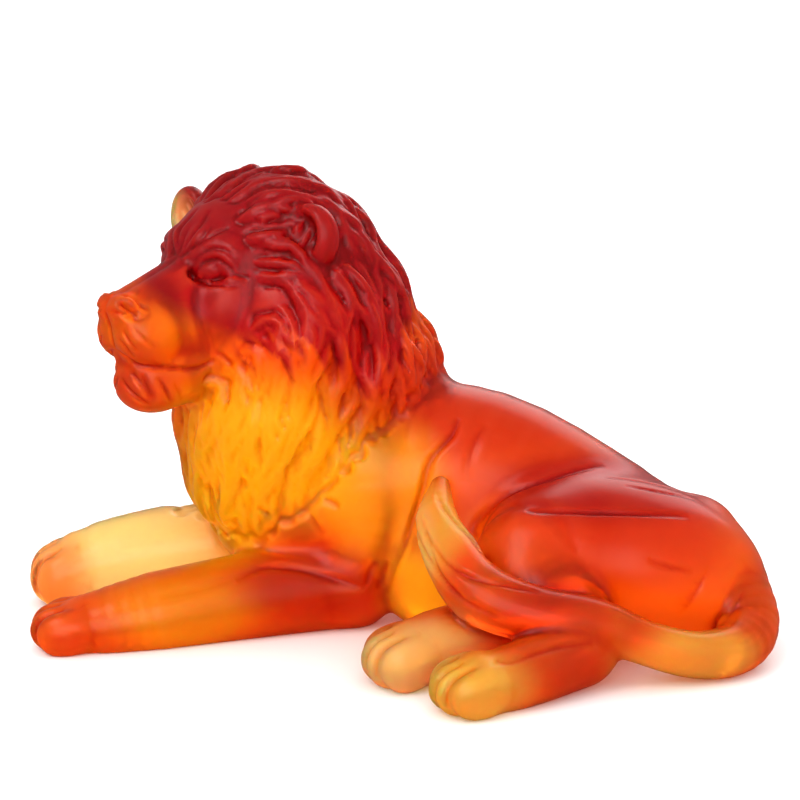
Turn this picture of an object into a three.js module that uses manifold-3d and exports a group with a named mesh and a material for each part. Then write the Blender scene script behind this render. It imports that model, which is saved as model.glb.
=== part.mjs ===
// A recumbent lion, one solid casting of coloured crystal. It lies with its forelegs out in front,
// its hips rolled on to its right side, and both hind feet and the tail brought round to its left.
// Millimetres, +Z up. The lion faces -X and its left side is towards -Y.
import * as THREE from "three";
import { mergeVertices } from "three/addons/utils/BufferGeometryUtils.js";
import Module from "manifold-3d";

// Places are [x, y, z], sizes are the radii along each axis, and the stations along a limb are
// [x, y, z, radius].

// Head, in a frame of its own: forward, left and up of the middle of the skull
const HEAD_PLACE = [-67, 30, 150];
const HEAD_YAW = 222;
const SKULL = { place: [-4, 0, 0], size: [31, 28, 28] };
const CHEEK = { place: [8, 19, -16], size: [20, 11, 20] };
const PAD = { place: [50, 6.5, -25], size: [12.5, 10.5, 11.5] };
const NOSE = { place: [60, 3.5, -13.5], size: [5, 6, 5] };
const CHIN = { place: [45.5, 0, -45], size: [13.5, 13.5, 12.5] };
const EYE = { place: [20.5, 12, -1.5], size: [5.5, 5.5, 4.5] };
const MUZZLE = [[16, 0, -19, 20], [46, 0, -24, 15]];
const BRIDGE = [[24, 3, -5, 8.5], [56, 3, -16, 6.5]];
const JAW = [[2, 0, -34, 20], [39, 0, -42, 15.5]];
const BROW = [[19, 6, 7, 8], [15, 17, 5, 7.5]];
const SOCKET = [[28, 9, -3.5, 2.6], [23.5, 20, -3, 2.2]];
const MOUTH = [[64, 0, -33, 1.5], [57, 11, -36, 1.5], [44, 16.5, -38, 1.4], [31, 19, -38, 1.2]];

// Ears, cupped forward and leaning outward
const EAR_PLACE = [-7, 39, 11.5];
const EAR_YAW = 14;
const EAR_ROLL = 20;
const EAR_CUP = { place: [0, 0, 0], size: [8, 13, 14] };
const EAR_BOWL = { place: [7.5, -3, 1], size: [8.5, 10, 10.5] };

// Mane
const CROWN = { place: [-18, 0, 2.5], size: [31.5, 41.5, 30.5] };
const MANE_SIDES = [
  { place: [-45, 33, 122], size: [34, 44, 38] },
  { place: [-49, 34, 88], size: [34, 42, 40] },
];
const NAPE = [[-48, 32, 147, 33], [-32, 33, 125, 35.5], [-20, 35, 103, 34], [2, 35, 82, 24]];
const RUFF = [[-61, 30, 118, 32], [-58, 33, 90, 33], [-56, 34, 60, 31], [-51, 32, 34, 19]];

// The locks run along this line, from between the eyes back over the neck and down to the breastbone
const NECK_LINE = [[-84, 16, 150], [-62, 32, 146], [-42, 35, 124], [-36, 36, 92], [-40, 36, 58], [-46, 36, 26]];
const LOCK_RINGS = 7;
const FIRST_RING = 0.1;
const LAST_RING = 0.74;
const LOCKS_ROUND = 16;
const LOCK_LENGTH = 42;
const LOCK_RADIUS = 6.4;
const LOCK_BEND = 0.45;
const LOCK_STEPS = 6;
// No lock starts below a slope of this height over the reference point, which rises towards the tail
const ROOT_HEIGHT = 100;
const ROOT_RISE = 0.75;

// Trunk
const TRUNK = [[-45, 36, 50, 36], [0, 34, 58, 39], [33, 30, 58, 36.5], [80, 16, 37, 34], [106, 6, 22, 31]];
const BELLY = { place: [24, 14, 28], size: [38, 27, 33] };
const RUMP = { place: [109, 4, 19], size: [38, 43, 28.5] };
const HAUNCH = { place: [90, -12, 36], size: [56, 36, 31] };
const HAUNCH_PITCH = 12;
const KNEE = { place: [50, -34, 38], size: [20, 15, 20] };

// Limbs and tail
const LEFT_ARM = [[-20, 16, 18, 19], [-14, 17, 40, 21], [-13, 20, 66, 24], [-22, 28, 88, 24]];
const LEFT_FORELEG = [[-130, -18, 6, 10], [-118, -17, 9, 14], [-98, -10, 11, 17], [-60, 4, 14, 18.5], [-22, 15, 17, 19]];
const RIGHT_FORELEG = [
  [-138, 44, 13, 14],
  [-124, 46, 17, 17.5],
  [-98, 52, 20, 19.5],
  [-60, 60, 22, 20],
  [-30, 66, 24, 20],
  [-20, 62, 44, 20],
  [-34, 54, 62, 20],
];
const LEFT_HIND_FOOT = [[32, -91, 9, 12], [45, -85, 11, 12.5], [68, -66, 14, 14]];
const LEFT_SHANK = [[50, -38, 32, 18], [72, -58, 18, 14]];
const RIGHT_HIND_FOOT = [[6, -61, 10, 12], [14, -58, 13, 14], [45, -44, 15, 15]];
const TAIL = [
  [118, -2, 38, 20],
  [130, -20, 24, 17],
  [136, -38, 14, 12],
  [128, -53, 10, 10],
  [112, -62, 11, 9],
  [93, -66, 17, 8.5],
  [74, -67, 25, 9.5],
  [50, -68, 29, 11],
  [30, -64, 36, 12],
  [20, -48, 46, 11],
  [14.5, -30, 55, 8.5],
  [16, -14, 65, 4],
];

// Paws: where each starts, the way it points, how far apart its four toes are, and half their height
const PAWS = [
  { place: [-130, -18, 8], yaw: 184, pitch: 7.2, height: 9 },
  { place: [-140, 44, 12], yaw: 188, pitch: 8.2, height: 12 },
  { place: [28, -93, 9], yaw: 204, pitch: 6.4, height: 9 },
  { place: [3, -63, 10], yaw: 200, pitch: 6.8, height: 10 },
];
const TOE_REACH = 10;

// The surface is worked out on a lattice of this pitch, then thinned to this many triangles
const CELL = 3.2;
const LATTICE_LOW = [-172, -125, -18];
const LATTICE_HIGH = [170, 110, 205];
const MOST_TRIANGLES = 9400;

const { clamp, degToRad, lerp } = THREE.MathUtils;

// Forms. Each is a function of a point that gives how far outside the form the point is.

// An ellipsoid
function ball({ place: [cx, cy, cz], size: [rx, ry, rz] }) {
  const least = Math.min(rx, ry, rz);
  return (x, y, z) => {
    const px = (x - cx) / rx;
    const py = (y - cy) / ry;
    const pz = (z - cz) / rz;
    const near = Math.sqrt(px * px + py * py + pz * pz);
    const slope = Math.sqrt((px / rx) ** 2 + (py / ry) ** 2 + (pz / rz) ** 2);
    return slope < 1e-9 ? -least : (near * (near - 1)) / slope;
  };
}

// A rounded bar between two stations
function bar([ax, ay, az, ra], [bx, by, bz, rb]) {
  const dx = bx - ax;
  const dy = by - ay;
  const dz = bz - az;
  const length2 = dx * dx + dy * dy + dz * dz;
  return (x, y, z) => {
    const px = x - ax;
    const py = y - ay;
    const pz = z - az;
    const t = clamp((px * dx + py * dy + pz * dz) / length2, 0, 1);
    return Math.sqrt((px - t * dx) ** 2 + (py - t * dy) ** 2 + (pz - t * dz) ** 2) - ra - t * (rb - ra);
  };
}

// Forms that run into each other with a fillet of about the given size
function blend(size, ...forms) {
  return (x, y, z) => {
    let d = forms[0](x, y, z);
    for (let i = 1; i < forms.length; i++) {
      const e = forms[i](x, y, z);
      const h = Math.max(size - Math.abs(d - e), 0) / size;
      d = Math.min(d, e) - (h * h * size) / 4;
    }
    return d;
  };
}

// A form with another one hollowed out of it
function hollow(size, form, tool) {
  const filled = blend(size, (x, y, z) => -form(x, y, z), tool);
  return (x, y, z) => -filled(x, y, z);
}

// The bars through a row of stations, each span of them cut into steps along a smooth curve
function limb(stations, steps = 4) {
  const line = new THREE.CatmullRomCurve3(stations.map((s) => new THREE.Vector3(...s)), false, "centripetal");
  const count = (stations.length - 1) * steps;
  const station = (i) => {
    const s = Math.min(Math.floor(i / steps), stations.length - 2);
    return [...line.getPoint(i / count), lerp(stations[s][3], stations[s + 1][3], i / steps - s)];
  };
  const bars = Array.from({ length: count }, (_, i) => bar(station(i), station(i + 1)));
  return (x, y, z) => {
    let d = Infinity;
    for (const each of bars) d = Math.min(d, each(x, y, z));
    return d;
  };
}

// The same form on both sides of the middle
const mirrored = (form) => (x, y, z) => form(x, Math.abs(y), z);

function frameAt(place, yaw, pitch = 0, roll = 0) {
  const turn = new THREE.Euler(degToRad(roll), degToRad(pitch), degToRad(yaw), "ZYX");
  return new THREE.Matrix4().makeRotationFromEuler(turn).setPosition(...place);
}

// A form written in a frame of its own
function placed(frame, form) {
  const e = frame.clone().invert().elements;
  return (x, y, z) =>
    form(
      e[0] * x + e[4] * y + e[8] * z + e[12],
      e[1] * x + e[5] * y + e[9] * z + e[13],
      e[2] * x + e[6] * y + e[10] * z + e[14],
    );
}

// The way straight out of a form at a point
function outOf(form, { x, y, z }) {
  const h = 0.5;
  return new THREE.Vector3(
    form(x + h, y, z) - form(x - h, y, z),
    form(x, y + h, z) - form(x, y - h, z),
    form(x, y, z + h) - form(x, y, z - h),
  ).normalize();
}

// Head
const headFrame = frameAt(HEAD_PLACE, HEAD_YAW);

function headForm() {
  const face = blend(8, ball(SKULL), mirrored(bar(...BRIDGE)), bar(...MUZZLE), mirrored(ball(CHEEK)), bar(...JAW));
  const features = [mirrored(bar(...BROW)), mirrored(ball(PAD)), mirrored(ball(NOSE)), ball(CHIN)];
  const full = blend(4, face, ...features);
  const carved = hollow(2, hollow(4, full, mirrored(bar(...SOCKET))), mirrored(limb(MOUTH)));
  return placed(headFrame, blend(1.5, carved, mirrored(ball(EYE))));
}

function earForm(side) {
  const [x, y, z] = EAR_PLACE;
  const frame = frameAt([x, side * y, z], side * EAR_YAW, 0, -side * EAR_ROLL);
  const [bowlX, bowlY, bowlZ] = EAR_BOWL.place;
  const bowl = ball({ ...EAR_BOWL, place: [bowlX, side * bowlY, bowlZ] });
  return placed(headFrame.clone().multiply(frame), hollow(2, ball(EAR_CUP), bowl));
}

// Mane
const neckLine = new THREE.CatmullRomCurve3(NECK_LINE.map((p) => new THREE.Vector3(...p)));

function maneForm() {
  const sides = blend(10, ...MANE_SIDES.map(ball));
  return blend(10, placed(headFrame, ball(CROWN)), limb(NAPE), sides, limb(RUFF));
}

// The way the hair runs at a point: along the neck line, a little further on
function hairRun(p) {
  let nearest = 0;
  let least = Infinity;
  for (let t = 0; t <= 1; t += 0.025) {
    const d = neckLine.getPoint(t).distanceToSquared(p);
    if (d < least) {
      least = d;
      nearest = t;
    }
  }
  return neckLine.getTangent(clamp(nearest + 0.06, 0, 1));
}

// Where a line from inside a form comes out of it
function wayOut(form, start, direction) {
  const p = start.clone();
  while (form(...p) <= 0) p.addScaledVector(direction, 1);
  return p;
}

// One lock, laid on a form along the run of the hair, buried at its root and standing out at its tip
function lockStations(form, root, bend) {
  const p = root.clone();
  return Array.from({ length: LOCK_STEPS + 1 }, (_, i) => {
    const along = i / LOCK_STEPS;
    const out = outOf(form, p);
    p.addScaledVector(out, -form(...p));
    const girth = LOCK_RADIUS * Math.sqrt(Math.sin(Math.PI * (0.18 + 0.74 * along)));
    const station = [...p.clone().addScaledVector(out, lerp(-0.9, -0.1, along) * girth), girth];
    const run = hairRun(p).projectOnPlane(out).normalize();
    run.applyAxisAngle(out, bend * Math.cos(2.2 * Math.PI * along));
    p.addScaledVector(run, LOCK_LENGTH / LOCK_STEPS);
    return station;
  });
}

// Rings of locks round the neck line, each ring's locks falling between those of the ring before
function allLocks(form) {
  const locks = [];
  for (let ring = 0; ring < LOCK_RINGS; ring++) {
    const t = lerp(FIRST_RING, LAST_RING, ring / (LOCK_RINGS - 1));
    const axis = neckLine.getTangent(t);
    const side = new THREE.Vector3(0, 0, 1).cross(axis).normalize();
    for (let i = 0; i < LOCKS_ROUND; i++) {
      const angle = (2 * Math.PI * (i + 0.5 * (ring % 2))) / LOCKS_ROUND;
      const root = wayOut(form, neckLine.getPoint(t), side.clone().applyAxisAngle(axis, angle));
      if (root.z < ROOT_HEIGHT + ROOT_RISE * root.x) continue;
      locks.push(lockStations(form, root, LOCK_BEND * Math.sin(2.4 * i + 1.7 * ring)));
    }
  }
  return locks;
}

// The locks as one form. Away from every lock it is only a bound.
function hairForm(locks) {
  const BOUND = 8;
  const strands = locks.map((stations) => {
    const box = new THREE.Box3().setFromPoints(stations.map((s) => new THREE.Vector3(...s)));
    const sphere = box.getBoundingSphere(new THREE.Sphere());
    return { ...sphere.center, reach: sphere.radius + LOCK_RADIUS, form: limb(stations, 1) };
  });
  return (x, y, z) => {
    let d = BOUND;
    for (const s of strands) {
      const reach = s.reach + d;
      if ((x - s.x) ** 2 + (y - s.y) ** 2 + (z - s.z) ** 2 < reach * reach) d = Math.min(d, s.form(x, y, z));
    }
    return d;
  };
}

function pawForm({ place, yaw, pitch, height }) {
  const toes = [-1.5, -0.5, 0.5, 1.5].map((n) =>
    ball({ place: [TOE_REACH - 2 - 1.6 * n * n, n * pitch, 0], size: [TOE_REACH, 0.8 * pitch, height] }),
  );
  return placed(frameAt(place, yaw), blend(3, ...toes));
}

function lionForm() {
  const mane = maneForm();
  const trunk = blend(10, limb(TRUNK), ball(BELLY));
  const haunch = placed(frameAt(HAUNCH.place, 0, HAUNCH_PITCH), ball({ ...HAUNCH, place: [0, 0, 0] }));
  const body = blend(8, blend(12, trunk, ball(RUMP)), haunch);
  const legs = [LEFT_FORELEG, RIGHT_FORELEG, LEFT_SHANK].map((stations) => limb(stations));
  const legged = blend(6, blend(4, body, limb(LEFT_ARM)), ...legs, ball(KNEE));
  const feet = [LEFT_HIND_FOOT, RIGHT_HIND_FOOT].map((stations) => limb(stations));
  const tailed = blend(3, blend(6, legged, ...feet, ...PAWS.map(pawForm)), limb(TAIL));
  const maned = blend(1.5, blend(6, tailed, mane), hairForm(allLocks(mane)));
  return blend(3, maned, headForm(), earForm(1), earForm(-1));
}

// Surface

const CORNERS = Array.from({ length: 8 }, (_, c) => [c & 1, (c >> 1) & 1, c >> 2]);
const CELL_EDGES = [];
const CELL_FACES = [];
for (const [bit, p, q] of [[1, 2, 4], [2, 4, 1], [4, 1, 2]]) {
  for (let corner = 0; corner < 8; corner++) if (!(corner & bit)) CELL_EDGES.push([corner, corner | bit]);
  for (const side of [0, bit]) CELL_FACES.push([side, side | p | q, side | p, side | q]);
}

// The form's value at each point of the lattice. Blocks well away from the surface take one value.
function sampled(form, xs, ys, zs) {
  const BLOCK = 6;
  const far = 1.2 * BLOCK * CELL;
  const value = new Float32Array(xs.length * ys.length * zs.length);
  const starts = (line) => line.map((_, i) => i).filter((i) => i % BLOCK === 0);
  const part = (line, from) => line.slice(from, from + BLOCK);
  const middle = (line) => line[Math.floor(line.length / 2)];
  for (const k of starts(zs)) {
    for (const j of starts(ys)) {
      for (const i of starts(xs)) {
        const [bx, by, bz] = [part(xs, i), part(ys, j), part(zs, k)];
        const rough = form(middle(bx), middle(by), middle(bz));
        const same = Math.abs(rough) > far;
        bz.forEach((z, c) =>
          by.forEach((y, b) =>
            bx.forEach((x, a) => {
              value[i + a + xs.length * (j + b + ys.length * (k + c))] = same ? rough : form(x, y, z);
            }),
          ),
        );
      }
    }
  }
  return value;
}

// The corner of a cell to fill in where the inside meets itself only at an edge or at a corner
function looseCorner(inside) {
  for (const [a, b, c, d] of CELL_FACES) {
    if (inside[a] !== inside[b] || inside[c] !== inside[d] || inside[a] === inside[c]) continue;
    return inside[a] ? c : a;
  }
  const count = inside.filter(Boolean).length;
  if (count !== 2 && count !== 6) return -1;
  const opposite = [0, 1, 2, 3].some((a) => inside[a] === (count === 2) && inside[7 - a] === inside[a]);
  return opposite ? inside.indexOf(false) : -1;
}

function joinUp(value, [nx, ny, nz]) {
  const steps = CORNERS.map(([a, b, c]) => a + nx * (b + ny * c));
  for (let joined = 1; joined; ) {
    joined = 0;
    for (let n = 0; n + steps[7] < nx * ny * nz; n++) {
      const first = value[n] < 0;
      if (steps.every((step) => value[n + step] < 0 === first)) continue;
      const corner = looseCorner(steps.map((step) => value[n + step] < 0));
      if (corner < 0) continue;
      value[n + steps[corner]] = -0.1;
      joined++;
    }
  }
}

// Each lattice cell that the surface crosses gives one point, and each lattice edge that it crosses a
// face between the four cells round it.
function skin(form, [xs, ys, zs]) {
  const [nx, ny, nz] = [xs.length, ys.length, zs.length];
  const at = (i, j, k) => i + nx * (j + ny * k);
  const value = sampled(form, xs, ys, zs);
  joinUp(value, [nx, ny, nz]);
  const pointOf = new Map();
  const points = [];
  const visit = (from, use) => {
    for (let k = from; k < nz - 1; k++) {
      for (let j = from; j < ny - 1; j++) {
        for (let i = from; i < nx - 1; i++) use(i, j, k);
      }
    }
  };
  visit(0, (i, j, k) => {
    const sum = new THREE.Vector3();
    let crossings = 0;
    for (const ends of CELL_EDGES) {
      const [[a, b, c], [d, e, f]] = ends.map((n) => CORNERS[n]);
      const u = value[at(i + a, j + b, k + c)];
      const v = value[at(i + d, j + e, k + f)];
      if (u < 0 === v < 0) continue;
      const start = new THREE.Vector3(xs[i + a], ys[j + b], zs[k + c]);
      sum.add(start.lerp(new THREE.Vector3(xs[i + d], ys[j + e], zs[k + f]), u / (u - v)));
      crossings++;
    }
    if (crossings) {
      pointOf.set(at(i, j, k), points.length);
      points.push(sum.divideScalar(crossings));
    }
  });
  const faces = [];
  visit(1, (i, j, k) => {
    const inside = value[at(i, j, k)] < 0;
    const round = (next, cells) => {
      if (inside === value[next] < 0) return;
      const face = cells.map((cell) => pointOf.get(cell));
      faces.push(inside ? face : face.reverse());
    };
    round(at(i + 1, j, k), [at(i, j - 1, k - 1), at(i, j, k - 1), at(i, j, k), at(i, j - 1, k)]);
    round(at(i, j + 1, k), [at(i - 1, j, k - 1), at(i - 1, j, k), at(i, j, k), at(i, j, k - 1)]);
    round(at(i, j, k + 1), [at(i - 1, j - 1, k), at(i, j - 1, k), at(i, j, k), at(i - 1, j, k)]);
  });
  return { points, faces };
}

// Evens the points out along the surface and puts each back on it.
function settle(form, { points, faces }, rounds) {
  const around = points.map(() => new Set());
  for (const face of faces) {
    face.forEach((n, i) => around[n].add(face[(i + 1) % 4]).add(face[(i + 3) % 4]));
  }
  for (let round = 0; round < rounds; round++) {
    const middles = around.map((near) => {
      const middle = new THREE.Vector3();
      for (const n of near) middle.add(points[n]);
      return middle.divideScalar(near.size);
    });
    points.forEach((p, n) => {
      const out = outOf(form, p);
      p.add(middles[n].sub(p).projectOnPlane(out).multiplyScalar(0.5));
      p.addScaledVector(out, clamp(-form(...p), -1, 1));
    });
  }
}

const split = (points) => ([a, b, c, d]) =>
  points[a].distanceTo(points[c]) < points[b].distanceTo(points[d])
    ? [[a, b, c], [a, c, d]]
    : [[b, c, d], [b, d, a]];

const acrossOf = (a, b, c) => b.clone().sub(a).cross(c.clone().sub(a));

// The sum of squared distances to planes, as the ten terms of a quadratic in x, y and z
function distanceTerms(a, across) {
  const weight = across.length();
  const { x, y, z } = across.clone().divideScalar(weight);
  const d = -(x * a.x + y * a.y + z * a.z);
  return [x * x, x * y, x * z, x * d, y * y, y * z, y * d, z * z, z * d, d * d].map((v) => v * weight);
}

function distanceAt(q, { x, y, z }) {
  const squares = q[0] * x * x + q[4] * y * y + q[7] * z * z + q[9];
  return squares + 2 * (q[1] * x * y + q[2] * x * z + q[3] * x + q[5] * y * z + q[6] * y + q[8] * z);
}

// The one place that two neighbouring points can share with the least change of surface
function meeting(points, terms, u, v) {
  const q = terms[u].map((value, i) => value + terms[v][i]);
  const reach = points[u].distanceTo(points[v]);
  const middle = points[u].clone().lerp(points[v], 0.5);
  const matrix = new THREE.Matrix3().set(q[0], q[1], q[2], q[1], q[4], q[5], q[2], q[5], q[7]);
  const best = new THREE.Vector3(-q[3], -q[6], -q[8]).applyMatrix3(matrix.invert());
  const place = best.distanceTo(middle) < reach ? best : middle;
  return { u, v, place, cost: distanceAt(q, place) + 1e-3 * reach * reach };
}

// Merges neighbouring points, the least change first, until few enough triangles are left.
function thin(points, triangles, most) {
  const around = points.map(() => new Set());
  const terms = points.map(() => new Array(10).fill(0));
  const across = (t, moved = {}) => acrossOf(...t.map((n) => moved[n] ?? points[n]));
  for (const t of triangles) {
    const own = distanceTerms(points[t[0]], across(t));
    for (const n of t) {
      around[n].add(t);
      own.forEach((value, i) => (terms[n][i] += value));
    }
  }
  const neighbours = (n) => new Set([...around[n]].flat().filter((m) => m !== n));
  const folds = (t, moved) => across(t, moved).normalize().dot(across(t).normalize()) < 0.3;
  const left = new Set(triangles);
  for (let before = Infinity; left.size > most && left.size < before; ) {
    before = left.size;
    const pairs = [...left]
      .flatMap(([a, b, c]) => [[a, b], [b, c], [c, a]])
      .filter(([a, b]) => a < b)
      .map(([a, b]) => meeting(points, terms, a, b))
      .sort((p, q) => p.cost - q.cost);
    const touched = new Set();
    for (const { u, v, place } of pairs.slice(0, Math.ceil(pairs.length / 4))) {
      if (left.size <= most || touched.has(u) || touched.has(v)) continue;
      const [nearU, nearV] = [neighbours(u), neighbours(v)];
      if ([...nearU].filter((n) => nearV.has(n)).length !== 2) continue;
      const closing = [...around[u]].filter((t) => t.includes(v));
      const kept = [...around[u], ...around[v]].filter((t) => !closing.includes(t));
      if (kept.some((t) => folds(t, { [u]: place, [v]: place }))) continue;
      for (const t of closing) {
        left.delete(t);
        for (const n of t) around[n].delete(t);
      }
      for (const t of around[v]) {
        t[t.indexOf(v)] = u;
        around[u].add(t);
      }
      points[u].copy(place);
      terms[v].forEach((value, i) => (terms[u][i] += value));
      for (const n of [u, v, ...nearU, ...nearV]) touched.add(n);
    }
  }
  return [...left];
}

// Boolean work
const wasm = await Module();
wasm.setup();

function solidOf(geometry) {
  geometry.deleteAttribute("normal");
  geometry.deleteAttribute("uv");
  const merged = mergeVertices(geometry);
  const vertProperties = Float32Array.from(merged.attributes.position.array);
  const triVerts = Uint32Array.from(merged.index.array);
  return new wasm.Manifold(new wasm.Mesh({ numProp: 3, vertProperties, triVerts }));
}

function geometryOf({ vertProperties, triVerts }) {
  const geometry = new THREE.BufferGeometry();
  geometry.setAttribute("position", new THREE.Float32BufferAttribute(vertProperties, 3));
  geometry.setIndex(new THREE.Uint32BufferAttribute(triVerts, 1));
  return geometry;
}

const form = lionForm();
const lattice = LATTICE_LOW.map((low, axis) => {
  const count = Math.ceil((LATTICE_HIGH[axis] - low) / CELL) + 1;
  return Array.from({ length: count }, (_, i) => low + i * CELL);
});
const shell = skin(form, lattice);
settle(form, shell, 3);
const triangles = thin(shell.points, shell.faces.flatMap(split(shell.points)), MOST_TRIANGLES);
const rounded = geometryOf({ vertProperties: shell.points.flatMap((p) => [...p]), triVerts: triangles.flat() });

// The underside is ground flat at the height of the floor
const GROUND = 60;
const ground = new THREE.BoxGeometry(600, 600, GROUND).translate(0, 0, -GROUND / 2);
const geometry = geometryOf(solidOf(rounded).subtract(solidOf(ground)).getMesh());
geometry.computeVertexNormals();
geometry.computeBoundingBox();
const middle = geometry.boundingBox.getCenter(new THREE.Vector3());

const crystal = new THREE.MeshStandardMaterial({ color: 0xd8480a, roughness: 0.35, metalness: 0 });
const lion = new THREE.Mesh(geometry, crystal);
lion.name = "lion";
lion.position.set(-middle.x, -middle.y, 0);

const group = new THREE.Group();
group.add(lion);

export default group;
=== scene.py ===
"""A recumbent lion cast in satin crystal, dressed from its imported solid, on a pale studio floor."""

import math

import bmesh
import bpy
import numpy as np
from mathutils import Matrix, Vector
from mathutils.bvhtree import BVHTree
from mathutils.kdtree import KDTree


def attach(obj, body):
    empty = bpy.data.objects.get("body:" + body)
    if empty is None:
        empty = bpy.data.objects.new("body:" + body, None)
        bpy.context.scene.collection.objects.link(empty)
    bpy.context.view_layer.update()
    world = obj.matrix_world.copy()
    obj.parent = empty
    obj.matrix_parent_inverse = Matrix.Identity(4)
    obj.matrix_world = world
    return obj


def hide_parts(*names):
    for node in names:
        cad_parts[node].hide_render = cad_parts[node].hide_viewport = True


bl_info = {
    "name": "Crystal Lion",
    "version": (1, 0, 0),
    "blender": (4, 5, 0),
    "location": "3D View > Sidebar > Crystal Lion",
    "description": "Carves and lights a recumbent lion cast in satin crystal",
    "category": "Object",
}

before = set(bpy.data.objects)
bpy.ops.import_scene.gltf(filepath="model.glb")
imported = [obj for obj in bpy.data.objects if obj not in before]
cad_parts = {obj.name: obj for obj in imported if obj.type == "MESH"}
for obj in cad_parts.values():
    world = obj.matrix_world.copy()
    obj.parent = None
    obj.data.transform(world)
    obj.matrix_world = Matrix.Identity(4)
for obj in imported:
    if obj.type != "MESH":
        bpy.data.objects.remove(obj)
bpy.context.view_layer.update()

# All sizes of the lion are in millimetres and are made metres once, when a mesh is written.
# Places are measured from the lion's own reference point, which lies here in the frame.
REFERENCE = np.array([4.538, 11.822, 0.0])
MM = 0.001

# Head: forward, left and up of the middle of the skull
HEAD_PLACE = (-67, 30, 150)
HEAD_YAW = 222
SKULL = ((-4, 0, 0), (31, 28, 28))
CHEEK = ((8, 19, -16), (20, 11, 20))
PAD = ((50, 6.5, -25), (12.5, 10.5, 11.5))
NOSE = ((60, 3.5, -13.5), (5, 6, 5))
CHIN = ((45.5, 0, -45), (13.5, 13.5, 12.5))
EYE = ((20.5, 12, -1.5), (5.5, 5.5, 4.5))
MUZZLE = ((16, 0, -19, 20), (46, 0, -24, 15))
BRIDGE = ((24, 3, -5, 8.5), (56, 3, -16, 6.5))
JAW = ((2, 0, -34, 20), (39, 0, -42, 15.5))
BROW = ((19, 6, 7, 8), (15, 17, 5, 7.5))
SOCKET = ((28, 9, -3.5, 2.6), (23.5, 20, -3, 2.2))
MOUTH = ((64, 0, -33, 1.5), (57, 11, -36, 1.5), (44, 16.5, -38, 1.4), (31, 19, -38, 1.2))

EAR_PLACE = (-7, 39, 11.5)
EAR_YAW = 14
EAR_ROLL = 20
EAR_CUP = ((0, 0, 0), (8, 13, 14))
EAR_BOWL = ((7.5, -3, 1), (8.5, 10, 10.5))

# Mane
CROWN = ((-18, 0, 2.5), (31.5, 41.5, 30.5))
MANE_SIDES = (((-45, 33, 122), (34, 44, 38)), ((-49, 34, 88), (34, 42, 40)))
NAPE = ((-48, 32, 147, 33), (-32, 33, 125, 35.5), (-20, 35, 103, 34), (2, 35, 82, 24))
RUFF = ((-61, 30, 118, 32), (-58, 33, 90, 33), (-56, 34, 60, 31), (-51, 32, 34, 19))
NECK_LINE = ((-84, 16, 150), (-62, 32, 146), (-42, 35, 124), (-36, 36, 92), (-40, 36, 58), (-46, 36, 26))

# Trunk
TRUNK = ((-45, 36, 50, 36), (0, 34, 58, 39), (33, 30, 58, 36.5), (80, 16, 37, 34), (106, 6, 22, 31))
BELLY = ((24, 14, 28), (38, 27, 33))
RUMP = ((109, 4, 19), (38, 43, 28.5))
HAUNCH = ((90, -12, 36), (56, 36, 31))
HAUNCH_PITCH = 12
KNEE = ((50, -34, 38), (20, 15, 20))

# Limbs and tail
LEFT_ARM = ((-20, 16, 18, 19), (-14, 17, 40, 21), (-13, 20, 66, 24), (-22, 28, 88, 24))
LEFT_FORELEG = (
    (-130, -18, 6, 10),
    (-118, -17, 9, 14),
    (-98, -10, 11, 17),
    (-60, 4, 14, 18.5),
    (-22, 15, 17, 19),
)
RIGHT_FORELEG = (
    (-138, 44, 13, 14),
    (-124, 46, 17, 17.5),
    (-98, 52, 20, 19.5),
    (-60, 60, 22, 20),
    (-30, 66, 24, 20),
    (-20, 62, 44, 20),
    (-34, 54, 62, 20),
)
LEFT_HIND_FOOT = ((32, -91, 9, 12), (45, -85, 11, 12.5), (68, -66, 14, 14))
LEFT_SHANK = ((50, -38, 32, 18), (72, -58, 18, 14))
RIGHT_HIND_FOOT = ((6, -61, 10, 12), (14, -58, 13, 14), (45, -44, 15, 15))
TAIL = (
    (118, -2, 38, 20),
    (130, -20, 24, 17),
    (136, -38, 14, 12),
    (128, -53, 10, 10),
    (112, -62, 11, 9),
    (93, -66, 17, 8.5),
    (74, -67, 25, 9.5),
    (50, -68, 29, 11),
    (30, -64, 36, 12),
    (20, -48, 46, 11),
    (14.5, -30, 55, 8.5),
    (16, -14, 65, 4),
)
# Paws: place, the way it points, how far apart its toes are, half its height
PAWS = (
    ((-130, -18, 8), 184, 7.2, 9),
    ((-140, 44, 12), 188, 8.2, 12),
    ((28, -93, 9), 204, 6.4, 9),
    ((3, -63, 10), 200, 6.8, 10),
)
TOE_REACH = 10
# How far a toe stands back, times the square of how many places it is from the middle of the paw
TOE_SET_BACK = 1.6

# The hair ends at a slanting foot: its height over the reference point, how it rises towards the tail,
# its lowest on the chest and its highest on the nape
HAIR_FOOT = 90
HAIR_FOOT_RISE = 0.95
LOWEST_HAIR = 38
NAPE_HAIR = 102
# The share of the neck line above the first row of hair, and the share that the rows take up
ROWS_START = 0.06
ROWS_SPAN = 0.76
# The farthest that a strand's root lies from the neck line
WIDEST_MANE = 62
# The steps of a whole strand, and the fewest places of one worth laying
STRAND_STEPS = 9
FEWEST_PLACES = 4
# How much of a strand's half width lies under the skin: above these heights, what is added below them,
# how much there is at the foot of the mane, and how far above the foot that is felt
SUNK_HEIGHTS = (57, 112)
SUNK_HIGH = 0.2
SUNK_LOW = 0.55
SUNK_FOOT = 0.85
FOOT_REACH = 35
# The grain of the skin under the hair, and how far that skin is pushed in to bed the strands
BED_GRAIN = 1.6
BED_DEPTH = 1.5
# Distances from the hair, between which the bed, the hair's cover of the skin and its colour fade out
BED_REACH = (2, 7)
COVER_REACH = (3.5, 7)
DRIFT_REACH = (3.5, 8)

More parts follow.
